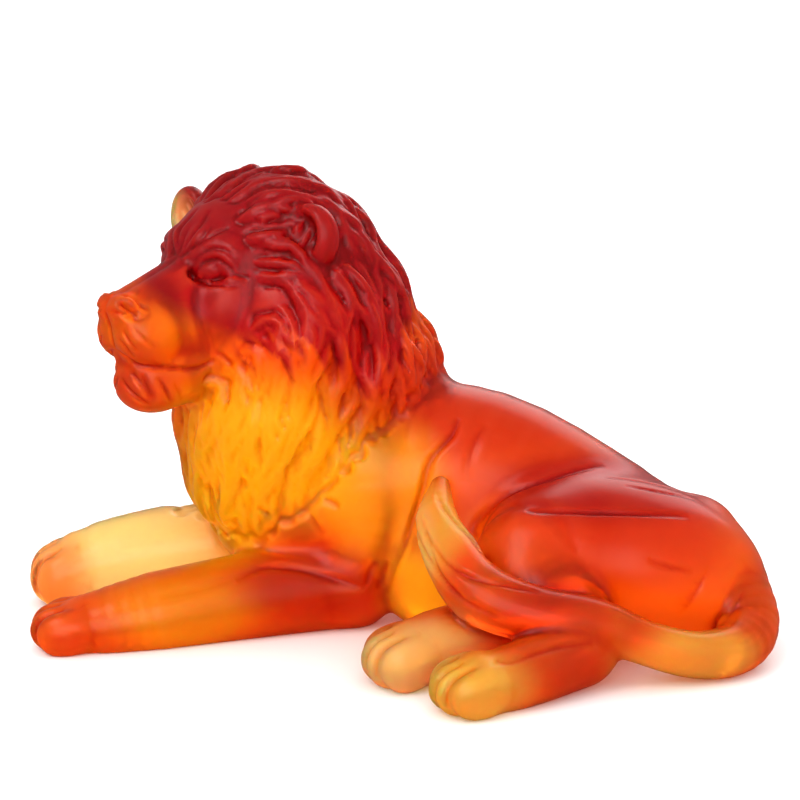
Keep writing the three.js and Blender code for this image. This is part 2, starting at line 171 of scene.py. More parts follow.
# The most that the strokes cut or raise together
DEEPEST_CUT = 3
HIGHEST_RIDGE = 2.5


def groove(width, depth, *places):
    """A carving stroke along some places, with its half width and how deep it cuts."""
    return places, width, depth


def ridge(width, height, *places):
    """A stroke that raises the skin instead."""
    return places, width, -height


# Strokes on the face, in the head's frame. One that leaves the middle is carved on both sides.
FACE_STROKES = (
    # Lids, and the folds above and below them
    groove(
        0.8, 0.7,
        (25.1, 9.1, -1.1), (25.2, 13.2, 2.2), (23.2, 17.8, 3.7), (20.9, 21.8, 1.5), (19.5, 24.6, -2.3),
    ),
    groove(
        0.8, 0.6,
        (25.1, 9.1, -1.1), (24.8, 11.2, -4.1), (23.8, 15.7, -5.3), (20.7, 20, -4.7), (19.5, 24.6, -2.3),
    ),
    ridge(
        1.1, 0.8,
        (25.8, 9.3, 1.2), (25.8, 13, 4.6), (23.6, 18, 6.0), (21, 22.5, 3.6), (19.3, 26, -0.8),
    ),
    groove(0.9, 0.7, (25.2, 10, 4.6), (24.5, 15, 7.4), (22, 20, 7.7), (19.5, 24.8, 4.8)),
    ridge(1.1, 0.6, (24.6, 10.6, -6), (23.6, 15.7, -7.2), (20.7, 20.4, -6.5), (18.5, 25, -4)),
    groove(0.9, 0.7, (24.8, 9.8, -7.8), (24.5, 15.3, -9.3), (22, 21.4, -8.7), (19, 26, -6)),
    groove(0.8, 0.8, (19.8, 24, -2.3), (17.6, 26.4, -2.8), (14.5, 28, -3.6)),
    # The inner corner, filled so that the lids meet there
    ridge(2.4, 1.6, (27, 7, -1), (25.4, 10, -2), (24.6, 12, -4)),
    ridge(2.2, 1.4, (26, 8.5, -4), (24.9, 12, -5.8), (24, 16, -6.2)),
    # The eyeball between the lids
    ridge(2.6, 1.3, (25, 10.5, -1.6), (24.2, 15, -1), (22.6, 19, -1), (20.2, 23, -2)),
    # Furrows that fan up from the inner corners of the eyes
    groove(1.2, 1.0, (29.6, 1.5, 3.3), (27.3, 7, 8.1), (24.1, 10.1, 12.2), (19.2, 10.3, 16.1)),
    groove(1.1, 0.9, (27.8, 6.3, 6.5), (24.9, 11.1, 10.3), (20.4, 13.8, 13.4), (15.4, 16.3, 15.2)),
    groove(1.2, 0.8, (28.2, 2.0, 6.6), (26.3, 4.4, 12), (21.8, 5.2, 17), (16, 4, 22)),
    ridge(1.3, 0.6, (30, 4.2, 2), (28.6, 8, 4.6), (26, 12.5, 7.6)),
    # Nostrils, wings and front of the nose
    groove(1.3, 3.4, (62.5, 6.2, -10.8), (61.3, 8.4, -12.4), (59.9, 9.7, -14.3), (57.4, 11.5, -15.4)),
    ridge(1.6, 0.9, (59.5, 6.4, -9.2), (58.2, 8.6, -10.4), (56.4, 10.8, -12.6)),
    groove(
        0.9, 0.9,
        (60.5, 2, -8.2), (58.9, 5.8, -9), (57, 8.5, -10.4), (55, 10.5, -13), (52.4, 12.6, -14),
    ),
    groove(
        1.0, 1.1,
        (65, 1.5, -14.6), (64.9, 4.8, -14.2), (63, 7.6, -14.8),
        (60.7, 9.5, -16.2), (57.9, 12.1, -17.2), (53, 13.3, -15.4),
    ),
    groove(1.0, 0.8, (65, 0, -15), (63.5, 0, -20), (62.5, 0, -25), (61.2, 0, -30)),
    # Mouth, and the hairs beside it and on the chin
    groove(
        1.0, 1.5,
        (60.4, 1, -30.5), (59.6, 5.1, -32.5), (56.4, 7.2, -35.8), (51.8, 10.8, -37), (41.8, 13.7, -38.8),
    ),
    groove(
        0.9, 1.4,
        (46, 12.5, -38), (41.8, 13.7, -38.8), (33.2, 15.3, -39.3), (28.8, 16.1, -38.1), (25, 18, -36),
    ),
    groove(0.8, 1.0, (62.5, 7.8, -21.4), (61.7, 10.4, -25.1), (58.6, 12.6, -29.9)),
    groove(0.8, 1.0, (62.8, 5.6, -24.7), (61.5, 8.6, -28.4), (57.7, 9.9, -32.8)),
    groove(0.9, 0.5, (60, 11, -20), (57.5, 13.6, -24), (53, 15.4, -28.5)),
    groove(0.9, 1.3, (58.4, 0.9, -42.1), (56.3, 6.6, -48.3), (50.8, 8.8, -52.8)),
    groove(0.9, 1.3, (56.4, 5, -39.3), (54.5, 8.9, -44.2), (51.5, 9.8, -50.5)),
    groove(0.9, 1.2, (54.3, 8.2, -39.9), (53, 10.1, -44.6), (50.6, 10.6, -49.7)),
    groove(0.9, 1.1, (49, 11, -41.5), (46.5, 12.2, -46.5), (43, 11.4, -52)),
    groove(1.0, 0.6, (43.5, 13, -43), (41, 13.6, -47.5), (37.5, 12.4, -52.5)),
)
# Strokes on the body
BODY_STROKES = (
    # Haunch
    groove(
        1.3, 1.2,
        (50, -34, 57), (53.2, -35.6, 58.1), (77.5, -36.3, 59.9),
        (97.1, -34.6, 59.1), (113.3, -29.7, 56.6),
    ),
    groove(1.1, 0.9, (82, -13, 68), (101.6, -10.7, 65.1), (120.7, -3.1, 58.2)),
    groove(1.0, 0.7, (88.6, -20.6, 66.8), (102.6, -19.7, 64.1), (117.2, -14, 59.4)),
    groove(1.2, 0.6, (95, -46, 44), (104, -46, 41), (113, -43, 38)),
    # Hollow between the haunch and the root of the tail
    ridge(8, 2, (114, -41, 31), (123, -41, 26), (131, -41, 22)),
    # Crease of the thigh, and the one behind the shoulder
    groove(
        1.8, 1.6,
        (28, -14, 44), (30, -9.5, 47.8), (39.9, -10.8, 58.5), (57.7, -11.4, 66.9), (82.6, 0.5, 69.7),
    ),
    groove(
        1.6, 1.6,
        (24, 8, 88), (20.9, 2.7, 82.4), (12.4, -2.4, 72.9),
        (9.2, -5, 61.2), (2, -6.8, 38.8), (-6, -3, 16),
    ),
    groove(2.5, 0.7, (35, 6, 86), (29, 1, 76), (26, -3, 64)),
    # Knee and shank
    groove(
        1.5, 1.1,
        (34, -96, 18.6), (40.2, -95.9, 19.5), (51.5, -89.9, 21.3), (61.1, -84.3, 21.8), (72, -78, 20.5),
    ),
    # Elbow, forearm and shoulder
    groove(
        2.0, 1.3,
        (-66.2, -12.1, 25.7), (-55.7, -6.2, 29), (-44.5, -4.7, 28.6), (-28.3, -4.7, 24.4), (-14, -4, 20),
    ),
    groove(1.6, 0.4, (-99.2, -23.9, 21), (-79.8, -17.7, 23.2), (-64.3, -11.5, 27.2)),
    groove(1.4, 0.9, (-4.9, -3.8, 31.7), (-6.9, -2.4, 24.9), (-9.3, -1.8, 18.4)),
    groove(1.4, 0.7, (-10, -5, 31), (-12.5, -4, 26), (-14, -3, 19)),
    groove(2.0, 1.0, (-40.4, -0.6, 51.7), (-37.6, -0.9, 51), (-34.4, -0.8, 46.7), (-30.8, 0.4, 41)),
    groove(1.5, 1.2, (-31, -1.4, 56.9), (-27, -2.2, 55), (-24.2, -2.9, 53.1)),
    # Soft hairs at the edge of the chest
    groove(1.4, 1.2, (-79.5, 11.3, 67.5), (-77.7, 12, 56.8), (-75.5, 13.1, 46), (-71.5, 12.3, 39.8)),
    groove(1.3, 1.1, (-76.4, 8.6, 66.1), (-73.3, 8.1, 57.8), (-71.8, 8.6, 49.3), (-69, 8.2, 44.3)),
    groove(1.2, 1.0, (-70.5, 4.8, 63.7), (-66.4, 3.4, 60.7), (-64.8, 3.3, 57)),
    groove(1.2, 1.0, (-59.5, 1.5, 55.3), (-55.8, 1, 51.3), (-52.2, 0.6, 48.5)),
    groove(1.3, 1.0, (-80, 24, 48), (-77, 25, 40), (-73, 25, 33)),
    # Streaks on the cheek, where the mane begins
    groove(
        1.2, 1.2,
        (-73.5, -1.3, 117.6), (-66.7, -3.6, 112), (-61.5, -5.4, 107.1), (-57.5, -6.4, 102.4),
    ),
    groove(1.2, 1.2, (-66.4, -3.3, 105.8), (-59.6, -5.8, 101.5), (-52.4, -7.4, 97.4), (-48.8, -7.8, 93)),
    groove(1.1, 1.0, (-71.2, -0.6, 95.1), (-65.8, -3.7, 91.7), (-60.9, -5.9, 88.1)),
    groove(1.1, 1.0, (-60.8, -5.5, 97.4), (-56.4, -6.9, 93.6), (-53.2, -7.7, 90.5)),
    # Wrist of the far foreleg
    groove(2.5, 0.8, (-149.3, 37, 23.4), (-146, 32, 23.6), (-143.9, 29.4, 23.4)),
)
# Hairs in the cup of each ear, in its own frame
EAR_STROKES = (
    ridge(1.1, 1.2, (4, -8, -8), (2, -6, 0), (1, -4, 8)),
    ridge(1.1, 1.2, (3, -3, -9), (1, -1.5, -1), (0.5, 0, 7)),
    ridge(1.0, 1.0, (3, 2, -8), (1.5, 3, -1), (2, 3.5, 5)),
)
# Between toes: the half width and depth, and places as distance forward and share of the paw's height
TOE_GROOVE = (1.1, 1.2)
TOE_GROOVE_PLACES = ((17, -0.5), (16.5, 0.35), (12, 0.9), (5, 1.1))
# Across the knuckles: the half width and depth, and turns over the paw in radians
PAW_SWELL = (4.5, -1.5)
PAW_SWELL_TURNS = (0.1, 0.8, 1.57, 2.3, 3.0)
# Down the tuft of the tail, from this station of it on
TUFT_START = 7
TUFT_GROOVES = 9
TUFT_GROOVE = (1.2, 1.2)

# Studio. Each light has a name, a place, a width and a power, and may or may not show as a highlight.
LIGHTS = (
    ("key", (-0.7, -0.9, 1.3), 0.9, 6, True),
    ("back", (0.5, 1.2, 0.9), 1.0, 5, True),
    ("fill", (-0.1, -1.5, 0.4), 1.3, 13, False),
)
LIT_PLACE = (0, 0, 0.08)
# The level of the white room and of the paper floor, and the share of it that the crystal mirrors
ROOM_LEVEL = (1.12, 0.3)
PAPER_LEVEL = (0.95, 0.15)
PAPER_SIZE = 30
# Camera: lens and sensor, height of what it looks at, tilt down in degrees and distance in metres
LENS = 101.25
SENSOR = 36
TARGET_HEIGHT = 97
CAMERA_TILT = 12
CAMERA_DISTANCE = 0.9
EXPOSURE = 0.15
GAMMA = 0.82


# Forms. Each takes an array of points and gives how far outside the form each point is.


def ball(place, size):
    """A ball with its own half size along each axis."""
    centre, radii = np.array(place, float), np.array(size, float)

    def distance(points):
        scaled = (points - centre) / radii
        near = np.linalg.norm(scaled, axis=1)
        slope = np.linalg.norm(scaled / radii, axis=1)
        return near * (near - 1) / np.maximum(slope, 1e-9)

    return distance


def bar(start, end):
    """A round bar between two stations of [x, y, z, radius]."""
    a, b = np.array(start, float), np.array(end, float)
    along = b[:3] - a[:3]

    def distance(points):
        rel = points - a[:3]
        t = np.clip(rel @ along / (along @ along), 0, 1)
        return np.linalg.norm(rel - t[:, None] * along, axis=1) - a[3] - t * (b[3] - a[3])

    return distance


def blend(size, *forms):
    """Forms joined by fillets of about this size."""

    def distance(points):
        d = forms[0](points)
        for form in forms[1:]:
            e = form(points)
            h = np.maximum(size - np.abs(d - e), 0) / size
            d = np.minimum(d, e) - h * h * size / 4
        return d

    return distance


def hollow(size, form, tool):
    """A form with a tool taken out of it and a soft edge left."""
    filled = blend(size, lambda points: -form(points), tool)
    return lambda points: -filled(points)


def mirrored(form):
    """A form and its mirror image across the middle."""
    return lambda points: form(np.stack([points[:, 0], np.abs(points[:, 1]), points[:, 2]], axis=1))


def frame_at(place, yaw, pitch=0, roll=0):
    """A frame at a place, turned by degrees."""
    turn = Matrix.Rotation(math.radians(yaw), 4, "Z")
    turn = turn @ Matrix.Rotation(math.radians(pitch), 4, "Y") @ Matrix.Rotation(math.radians(roll), 4, "X")
    return Matrix.Translation(place) @ turn


def to_local(matrix, points):
    """Points of the lion in a frame's own places."""
    inverse = np.array(matrix.inverted())
    return points @ inverse[:3, :3].T + inverse[:3, 3]


def to_model(matrix, points):
    """Points given in a frame's own places, as points of the lion."""
    own = np.array(matrix)
    return np.asarray(points, float) @ own[:3, :3].T + own[:3, 3]


def placed(matrix, form):
    """A form given in a frame of its own."""
    return lambda points: form(to_local(matrix, points))


def curve_point(stations, u):
    """A point on the smooth curve through stations, which runs evenly from station to station."""
    last = len(stations) - 2
    span = min(int(u * (last + 1)), last)
    w = u * (last + 1) - span
    p1, p2 = stations[span], stations[span + 1]
    p0 = stations[span - 1] if span else 2 * p1 - p2
    p3 = stations[span + 2] if span < last else 2 * p2 - p1
    d0, d1, d2 = (math.sqrt(np.linalg.norm((b - a)[:3])) for a, b in ((p0, p1), (p1, p2), (p2, p3)))
    t1 = d1 * ((p1 - p0) / d0 - (p2 - p0) / (d0 + d1) + (p2 - p1) / d1)
    t2 = d1 * ((p2 - p1) / d1 - (p3 - p1) / (d1 + d2) + (p3 - p2) / d2)
    return p1 + w * (t1 + w * (3 * (p2 - p1) - 2 * t1 - t2 + w * (2 * (p1 - p2) + t1 + t2)))


def smooth_line(stations, steps=4):
    """Stations of [x, y, z, radius] with steps more of them to each span. Radii run straight."""
    stations = np.array(stations, float)
    count = (len(stations) - 1) * steps
    line = np.array([curve_point(stations, i / count) for i in range(count + 1)])
    if stations.shape[1] > 3:
        line[:, 3] = np.interp(np.arange(count + 1) / steps, np.arange(len(stations)), stations[:, 3])
    return line


# Farther out than this a limb is only roughly measured
LIMB_NEAR = 14


def limb(stations, steps=4):
    """A bent limb through stations of [x, y, z, radius]."""
    line = smooth_line(stations, steps)
    bars = [bar(a, b) for a, b in zip(line, line[1:])]
    middle = (line[:, :3].min(0) + line[:, :3].max(0)) / 2
    reach = (np.linalg.norm(line[:, :3] - middle, axis=1) + line[:, 3]).max()

    def distance(points):
        d = np.linalg.norm(points - middle, axis=1) - reach
        near = d < LIMB_NEAR
        close = points[near]
        d[near] = np.min([each(close) for each in bars], axis=0) if len(close) else 0
        return np.where(near, d, np.maximum(d, LIMB_NEAR))

    return distance


HEAD = frame_at(HEAD_PLACE, HEAD_YAW)


def head_form():
    """The face and skull, with eye sockets and mouth cut in and eyeballs set."""
    face = blend(8, ball(*SKULL), mirrored(bar(*BRIDGE)), bar(*MUZZLE), mirrored(ball(*CHEEK)), bar(*JAW))
    full = blend(4, face, mirrored(bar(*BROW)), mirrored(ball(*PAD)), mirrored(ball(*NOSE)), ball(*CHIN))
    carved = hollow(2, hollow(4, full, mirrored(bar(*SOCKET))), mirrored(limb(MOUTH)))
    return placed(HEAD, blend(1.5, carved, mirrored(ball(*EYE))))


def ear_frame(side):
    """Where an ear stands: side 1 is the lion's left and -1 its right."""
    x, y, z = EAR_PLACE
    return HEAD @ frame_at((x, side * y, z), side * EAR_YAW, 0, -side * EAR_ROLL)


def ear_form(side):
    """A cupped ear."""
    (x, y, z), size = EAR_BOWL
    return placed(ear_frame(side), hollow(2, ball(*EAR_CUP), ball((x, side * y, z), size)))


def mane_form():
    """The bulk of the mane, without its locks."""
    sides = blend(10, *(ball(*each) for each in MANE_SIDES))
    return blend(10, placed(HEAD, ball(*CROWN)), limb(NAPE), sides, limb(RUFF))


def paw_form(place, yaw, pitch, height):
    """Four toes side by side, the middle two ahead."""
    toes = [
        ball((TOE_REACH - 2 - TOE_SET_BACK * n * n, n * pitch, 0), (TOE_REACH, 0.8 * pitch, height))
        for n in (-1.5, -0.5, 0.5, 1.5)
    ]
    return placed(frame_at(place, yaw), blend(3, *toes))


def bare_form():
    """The whole lion without the locks of its mane, cut off at the floor."""
    trunk = blend(10, limb(TRUNK), ball(*BELLY))
    haunch = placed(frame_at(HAUNCH[0], 0, HAUNCH_PITCH), ball((0, 0, 0), HAUNCH[1]))
    thigh = blend(6, blend(20, haunch, ball(*KNEE)), limb(LEFT_SHANK))
    body = blend(4, blend(8, blend(12, trunk, ball(*RUMP)), thigh), limb(LEFT_ARM))
    legged = blend(6, body, limb(LEFT_FORELEG), limb(RIGHT_FORELEG))
    feet = [limb(each) for each in (LEFT_HIND_FOOT, RIGHT_HIND_FOOT)]
    tailed = blend(3, blend(6, legged, *feet, *(paw_form(*paw) for paw in PAWS)), limb(TAIL))
    whole = blend(3, blend(6, tailed, mane_form()), head_form(), ear_form(1), ear_form(-1))
    return lambda points: np.maximum(whole(points), -points[:, 2])


# Meshes


def mesh_points(mesh, name="co"):
    """A mesh's points in metres, or with the name "vector" the ways out of it at them."""
    flat = np.empty(len(mesh.vertices) * 3)
    source = mesh.vertices if name == "co" else mesh.vertex_normals
    source.foreach_get(name, flat)
    return flat.reshape(-1, 3)


def read_points(mesh):
    """A mesh's points in millimetres from the reference point."""
    return mesh_points(mesh) / MM - REFERENCE


def write_points(mesh, points):
    """Move a mesh's points to places in millimetres from the reference point."""
    mesh.vertices.foreach_set("co", ((points + REFERENCE) * MM).ravel())
    mesh.update()


def solid_copy(node):
    """A copy of a solid's mesh with its loose triangles joined."""
    bm = bmesh.new()
    bm.from_mesh(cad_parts[node].data)
    bmesh.ops.remove_doubles(bm, verts=bm.verts, dist=1e-6)
    mesh = bpy.data.meshes.new(node)
    bm.to_mesh(mesh)
    bm.free()
    return mesh


def through_modifier(mesh, kind, **values):
    """The mesh with one modifier applied."""
    carrier = bpy.data.objects.new("carrier", mesh)
    bpy.context.scene.collection.objects.link(carrier)
    modifier = carrier.modifiers.new(kind, kind)
    for key, value in values.items():
        setattr(modifier, key, value)
    done = bpy.data.meshes.new_from_object(carrier.evaluated_get(bpy.context.evaluated_depsgraph_get()))
    bpy.data.objects.remove(carrier)
    return done


def softened(mesh, factor, rounds):
    """Draw each point of a mesh towards its neighbours."""
    bm = bmesh.new()
    bm.from_mesh(mesh)
    every_way = {"use_axis_x": True, "use_axis_y": True, "use_axis_z": True}
    for _ in range(rounds):
        bmesh.ops.smooth_vert(bm, verts=bm.verts, factor=factor, **every_way)
    bm.to_mesh(mesh)
    bm.free()


def surface_tree(mesh):
    """A mesh's surface, to find the nearest places on it."""
    bm = bmesh.new()
    bm.from_mesh(mesh)
    tree = BVHTree.FromBMesh(bm)
    bm.free()
    return tree


# Carving


def settled(form, points):
    """The points moved on to the surface of a form."""
    for _ in range(4):
        ways = [form(points + step) - form(points - step) for step in np.eye(3) * 0.2]
        slope = np.stack(ways, axis=1) / 0.4
        points = points - slope * (form(points) / np.maximum((slope**2).sum(axis=1), 0.2))[:, None]
    return points


def tuft_lines():
    """Lines that run down the tuft of the tail, spaced evenly round it."""
    line = smooth_line(TAIL[TUFT_START:], 2)
    run = np.gradient(line[:, :3], axis=0)
    side = np.cross(run, (0, 0, 1.0))
    side /= np.linalg.norm(side, axis=1, keepdims=True)
    up = np.cross(side, run)
    up /= np.linalg.norm(up, axis=1, keepdims=True)
    for n in range(TUFT_GROOVES):
        turn = 2 * math.pi * n / TUFT_GROOVES + 0.5 * np.sin(np.linspace(0, 3, len(line)) + 2 * n)
        spoke = side * np.cos(turn)[:, None] + up * np.sin(turn)[:, None]
        first = n % 3
        yield (line[:, :3] + spoke * line[:, 3:])[first : len(line) - 1 - (n + 1) % 3]


def all_strokes():
    """Every carving stroke as a line of places, its half width and its depth."""
    for places, width, depth in FACE_STROKES:
        for side in (1, -1) if any(y for _, y, _ in places) else (1,):
            yield to_model(HEAD, np.array(places) * (1, side, 1)), width, depth
    for places, width, depth in EAR_STROKES:
        for side in (1, -1):
            yield to_model(ear_frame(side), np.array(places) * (1, side, 1)), width, depth
    for places, width, depth in BODY_STROKES:
        yield np.array(places, float), width, depth
    for place, yaw, pitch, height in PAWS:
        for n in (-1, 0, 1):
            places = [(x - TOE_SET_BACK * n * n, n * pitch, height * up) for x, up in TOE_GROOVE_PLACES]
            yield to_model(frame_at(place, yaw), places), *TOE_GROOVE
        across = [(-1, 1.7 * pitch * math.cos(turn), height * math.sin(turn)) for turn in PAW_SWELL_TURNS]
        yield to_model(frame_at(place, yaw), across), *PAW_SWELL
    for places in tuft_lines():
        yield places, *TUFT_GROOVE


def stroke_depth(points, line, width, depth):
    """How deep one stroke cuts at each point. It fades towards the ends of its line."""
    cut = np.zeros(len(points))
    low, high = line.min(axis=0) - 3 * width, line.max(axis=0) + 3 * width
    near = np.flatnonzero(((points > low) & (points < high)).all(axis=1))
    close = points[near]
    gap, along = np.full(len(near), np.inf), np.zeros(len(near))
    for i, (a, b) in enumerate(zip(line, line[1:])):
        run = b - a
        t = np.clip((close - a) @ run / (run @ run), 0, 1)
        here = np.linalg.norm(close - a - t[:, None] * run, axis=1)
        along = np.where(here < gap, (i + t) / (len(line) - 1), along)
        gap = np.minimum(gap, here)
    cut[near] = depth * np.exp(-((gap / width) ** 2)) * np.sqrt(np.sin(math.pi * along))
    return cut


def carve(points, out, form):
    """The points with every stroke cut into them or raised from them."""
    cut = np.zeros(len(points))
    for places, width, depth in all_strokes():
        line = settled(form, smooth_line(places, 5))
        cut += stroke_depth(points, line, width, depth)
    return points - out * np.clip(cut, -HIGHEST_RIDGE, DEEPEST_CUT)[:, None]


# Mane


def hair_run(neck, points):
    """The way the hair runs: along the neck line, a little further on from the nearest point of it."""
    nearest = np.argmin(np.linalg.norm(points[:, None] - neck[None], axis=2), axis=1)
    ahead = np.clip(nearest + 3, 0, len(neck) - 2)
    run = neck[ahead + 1] - neck[ahead - 1]
    return run / np.linalg.norm(run, axis=1, keepdims=True)


def turn_round(neck, points):
    """How far round the neck line each point lies, as an angle."""
    nearest = np.argmin(np.linalg.norm(points[:, None] - neck[None], axis=2), axis=1)
    run = np.gradient(neck, axis=0)[nearest]
    side = np.cross((0.0, 0.0, 1.0), run)
    up = np.cross(run, side)
    side /= np.linalg.norm(side, axis=1, keepdims=True)
    up /= np.linalg.norm(up, axis=1, keepdims=True)
    spoke = points - neck[nearest]
    return np.arctan2((spoke * up).sum(axis=1), (spoke * side).sum(axis=1))


def outward(tree, point):
    """The nearest place on the surface and the way out of it there, both in millimetres."""
    place, normal, _, _ = tree.find_nearest(Vector((np.asarray(point) + REFERENCE) * MM))
    return np.array(place) / MM - REFERENCE, np.array(normal)


def strand_path(tree, neck, root, bend, length):
    """Places and outward directions along one strand laid on the surface from its root."""
    place, out = outward(tree, root)
    path = [(place, out)]
    for i in range(STRAND_STEPS):
        run = hair_run(neck, place[None])[0]
        run = run - out * (run @ out)
        run /= max(np.linalg.norm(run), 1e-6)
        side = np.cross(out, run)
        turn = bend * math.cos(2.0 * math.pi * i / STRAND_STEPS)
        heading = run * math.cos(turn) + side * math.sin(turn)
        place, out = outward(tree, place + heading * length / STRAND_STEPS)
        path.append((place, out))
    return path


def strand_blank():
    """A ball of few faces that is drawn out into each strand."""
    bm = bmesh.new()
    bmesh.ops.create_uvsphere(bm, u_segments=6, v_segments=11, radius=1)
    mesh = bpy.data.meshes.new("strand")
    bm.to_mesh(mesh)
    bm.free()
    return mesh


def drawn_out(blank, path, radius, sunk):
    """The blank's points along a path: buried at the root, thickest a third of the way on, and pointed."""
    places = np.array([place for place, _ in path])
    outs = np.array([out for _, out in path])
    t = np.arccos(np.clip(blank[:, 2], -1, 1)) / math.pi
    steps = np.arange(len(path)) / (len(path) - 1)
    along = [[np.interp(t, steps, values[:, axis]) for axis in range(3)] for values in (places, outs)]
    place, out = (np.array(each).T for each in along)
    run = np.array([np.interp(t, steps, np.gradient(places[:, axis])) for axis in range(3)]).T
    side = np.cross(out, run)
    side /= np.maximum(np.linalg.norm(side, axis=1, keepdims=True), 1e-6)
    reach = np.hypot(blank[:, 0], blank[:, 1])
    girth = radius * np.sin(math.pi * (0.06 + 0.9 * t**0.8)) ** 0.7
    spin = blank[:, :2] / np.maximum(reach, 1e-6)[:, None] * girth[:, None] * (reach > 1e-4)[:, None]
    rise = (-1 + (1 - sunk) * np.minimum(t / 0.4, 1)) * radius
    return place + out * (rise[:, None] + spin[:, 1:]) + side * spin[:, :1]


def above_foot(places):
    """How far each place is above the slanting line where the mane ends on the chest and the shoulder."""
    return places[..., 2] - np.clip(HAIR_FOOT + HAIR_FOOT_RISE * places[..., 0], LOWEST_HAIR, NAPE_HAIR)


def mane_roots(tree, neck, sizes):
    """Where each strand starts, in rows round the neck line, with numbers that vary from one to the next."""
    for row in range(sizes.rows):
        for n in range(sizes.strands_round):
            wobble = math.sin(12.9898 * n + 78.233 * row)
            stagger = 0.5 * math.sin(4.1 * n + 2.3 * row) + 0.3 * wobble
            at = (ROWS_START + ROWS_SPAN * max(row + stagger, -0.2) / (sizes.rows - 1)) * (len(neck) - 1)
            i = int(at)
            centre = neck[i] + (neck[i + 1] - neck[i]) * (at - i)
            axis = Vector(neck[i + 1] - neck[max(i - 1, 0)]).normalized()
            side = Vector((0, 0, 1)).cross(axis).normalized()
            turn = 2 * math.pi * (n + 0.5 * (row % 2) + 0.25 * wobble) / sizes.strands_round
            spoke = Matrix.Rotation(turn, 3, axis) @ side
            hit = tree.ray_cast(Vector((centre + REFERENCE) * MM) + spoke * 0.1, -spoke)[0]
            root = np.array(hit) / MM - REFERENCE if hit else centre
            if above_foot(root) > 0 and 0 < np.linalg.norm(root - centre) < WIDEST_MANE:
                yield root, wobble, math.sin(1.7 * n + 0.9 * row)


def strand_depth(root, middle):
    """How much of a strand's half width lies under the skin, from where it starts and its middle."""
    sunk = SUNK_HIGH + SUNK_LOW * nearness(middle[2], *SUNK_HEIGHTS)
    return sunk + (SUNK_FOOT - sunk) * (1 - np.clip(above_foot(root) / FOOT_REACH, 0, 1))


def comb_mane(tree, neck, sizes):
    """The strands of the mane as one mesh, and every place that a strand passes."""
    blank_mesh = strand_blank()
    blank = mesh_points(blank_mesh)
    strands = bmesh.new()
    shapes, passed = [], []
    ears = blend(1, *(placed(ear_frame(side), ball(*EAR_CUP)) for side in (1, -1)))
    for root, wobble, sway in mane_roots(tree, neck, sizes):
        length = sizes.strand_length / MM * (1 + 0.25 * sway)
        path = strand_path(tree, neck, root, 0.5 * sway + 0.25 * wobble, length)
        places = np.array([place for place, _ in path])
        clear = np.append((ears(places) > 0.5) & (above_foot(places) > 0), False)
        path = path[: int(np.argmin(clear))]
        if len(path) < FEWEST_PLACES:
            continue
        strands.from_mesh(blank_mesh)
        radius = sizes.strand_width / MM / 2 * (1 + 0.2 * wobble)
        shapes.append(drawn_out(blank, path, radius, strand_depth(root, path[len(path) // 2][0])))
        passed.extend(place for place, _ in path[2:])
    hair = bpy.data.meshes.new("hair")
    strands.to_mesh(hair)
    strands.free()
    write_points(hair, np.concatenate(shapes))
    return hair, np.array(passed)


def hair_gap(points, passed):
    """How far each point is from the nearest place that a strand passes."""
    places = KDTree(len(passed))
    for i, place in enumerate(passed):
        places.insert(Vector(place), i)
    places.balance()
    return np.array([places.find(Vector(p))[2] for p in points])


def nearness(gap, near, far):
    """1 up to the distance near, falling to 0 at the distance far."""
    return np.clip((far - gap) / (far - near), 0, 1)


def joined(*meshes):
    """Several meshes as one."""
    bm = bmesh.new()
    for mesh in meshes:
        bm.from_mesh(mesh)
    both = bpy.data.meshes.new("joined")
    bm.to_mesh(both)
    bm.free()
    return both


def bed_strands(base, passed):
    """Push the skin in under the hair, so that the strands stand out of it."""
    points = read_points(base)
    out = mesh_points(base, "vector")
    pushed = BED_DEPTH * nearness(hair_gap(points, passed), *BED_REACH)
    write_points(base, points - out * pushed[:, None])


def bare_skin(carved, passed, form):
    """Lay the skin on the lion's own form wherever no hair covers it."""
    points = read_points(carved)
    bare = 1 - nearness(hair_gap(points, passed), *COVER_REACH)
    for _ in range(3):
        out = mesh_points(carved, "vector")
        points -= out * (np.clip(form(points), -1, 1) * bare)[:, None]
        write_points(carved, points)


def carved_mesh(neck, sizes):
    """The solid's form with the mane combed over it and the strokes cut, and the places that strands pass."""
    base = through_modifier(solid_copy("lion"), "REMESH", mode="VOXEL", voxel_size=BED_GRAIN * MM)
    softened(base, 0.5, 4)
    hair, passed = comb_mane(surface_tree(base), neck, sizes)
    bed_strands(base, passed)
    carved = through_modifier(joined(base, hair), "REMESH", mode="VOXEL", voxel_size=sizes.grain)
    form = bare_form()
    bare_skin(carved, passed, form)
    softened(carved, 0.3, 1)
    points = carve(read_points(carved), mesh_points(carved, "vector"), form)
    points[:, 2] = np.maximum(points[:, 2], 0)
    write_points(carved, points)
    return carved, passed


# Crystal

